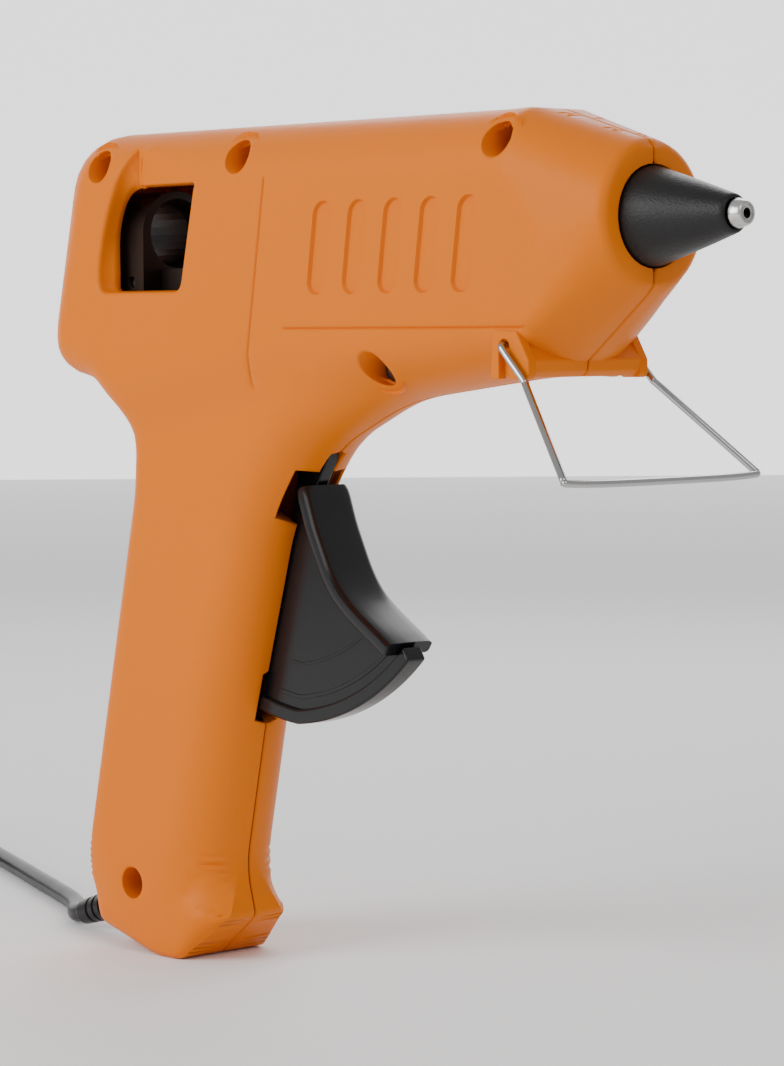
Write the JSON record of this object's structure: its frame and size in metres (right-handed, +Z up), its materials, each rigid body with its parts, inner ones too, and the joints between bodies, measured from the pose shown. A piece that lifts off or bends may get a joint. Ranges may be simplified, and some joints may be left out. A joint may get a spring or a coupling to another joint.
{
  "type": "glue gun",
  "caption": "Mains-powered hot-melt glue gun with a trigger feed, a heated chamber, a tapered nozzle, a fold-out wire stand and a coiled cord with a plug.",
  "frame": {"origin": "on the surface that the foot of the grip stands on, under the middle of the gun's own box, on the parting plane of the housing", "axes": "+X towards the nozzle, +Y to the left of a person holding it, +Z up"},
  "size_m": [0.3893, 0.1059, 0.1792],
  "materials": {
    "housing_plastic": "satin moulded ABS",
    "trigger_plastic": "gloss moulded nylon",
    "cover_plastic": "fine grained heat-resistant plastic",
    "carriage_plastic": "moulded nylon",
    "nozzle_metal": "turned",
    "chamber_metal": "die-cast",
    "spring_steel": "drawn",
    "screw_steel": "zinc-plated",
    "stand_wire": "bright nickel-plated",
    "contact_brass": "stamped",
    "silicone": "matte moulded",
    "heater_ceramic": "sintered",
    "insulating_film": "polyimide film",
    "lens_plastic": "translucent dark red",
    "lamp_glass": "clear",
    "cord_rubber": "satin PVC",
    "pin_plating": "nickel-plated",
    "lead_brown": "silicone insulation",
    "lead_blue": "silicone insulation"
  },
  "bodies": {
    "housing": {"right_shell": "housing_plastic", "left_shell": "housing_plastic", "housing_screw_1": "screw_steel", "housing_screw_2": "screw_steel", "housing_screw_3": "screw_steel", "housing_screw_4": "screw_steel", "housing_screw_5": "screw_steel", "nozzle_cover": "cover_plastic", "nozzle": "nozzle_metal", "valve_spring": "spring_steel", "melt_chamber": "chamber_metal", "heater_wrap": "insulating_film", "ptc_heater": "heater_ceramic", "contact_plate_lower": "contact_brass", "contact_plate_upper": "contact_brass", "feed_sleeve": "silicone", "sleeve_clamp": "spring_steel", "trigger_pin": "spring_steel", "return_spring": "spring_steel", "indicator_lens": "lens_plastic", "indicator_lamp": "lamp_glass", "strain_relief": "cord_rubber", "cord_clamp": "cover_plastic", "clamp_screw": "screw_steel", "lead_live": "lead_brown", "lead_neutral": "lead_blue", "mains_cord": "cord_rubber", "cord_coil": "cord_rubber", "plug_body": "cord_rubber", "plug_pin_1": "pin_plating", "plug_pin_2": "pin_plating"},
    "trigger": {"trigger": "trigger_plastic", "drive_pin": "spring_steel"},
    "carriage": {"carriage": "carriage_plastic", "pawl_pin": "spring_steel"},
    "pawl": {"stick_pawl": "spring_steel"},
    "valve": {"valve_ball": "spring_steel"},
    "stand": {"wire_stand": "stand_wire"}
  },
  "joints": [
    {"name": "trigger_pull", "type": "hinge", "parent": "housing", "child": "trigger", "pos_m": [-0.02266, 0, 0.113], "axis": [0, 1, 0], "range_deg": [0, 22], "stiffness_Nm_per_rad": 0.15, "springref_deg": -17.19},
    {"name": "carriage_slide", "type": "slide", "parent": "housing", "child": "carriage", "axis": [1, 0, 0], "range_m": [0, 0.0114], "deforming": ["return_spring"]},
    {"name": "pawl_tilt", "type": "hinge", "parent": "carriage", "child": "pawl", "pos_m": [-0.07266, 0, 0.1468], "axis": [0, 1, 0], "range_deg": [0, 8]},
    {"name": "valve_lift", "type": "slide", "parent": "housing", "child": "valve", "axis": [1, 0, 0], "range_m": [0, 0.001], "stiffness_N_per_m": 60, "springref_m": -0.002, "deforming": ["valve_spring"]},
    {"name": "stand_fold", "type": "hinge", "parent": "housing", "child": "stand", "pos_m": [0.04894, 0, 0.1332], "axis": [0, 1, 0], "range_deg": [0, 115]}
  ],
  "couplings": [
    {"joint": "carriage_slide", "follows": "trigger_pull", "m_per_rad": 0.02927},
    {"joint": "pawl_tilt", "follows": "trigger_pull", "ratio": 0.36}
  ]
}
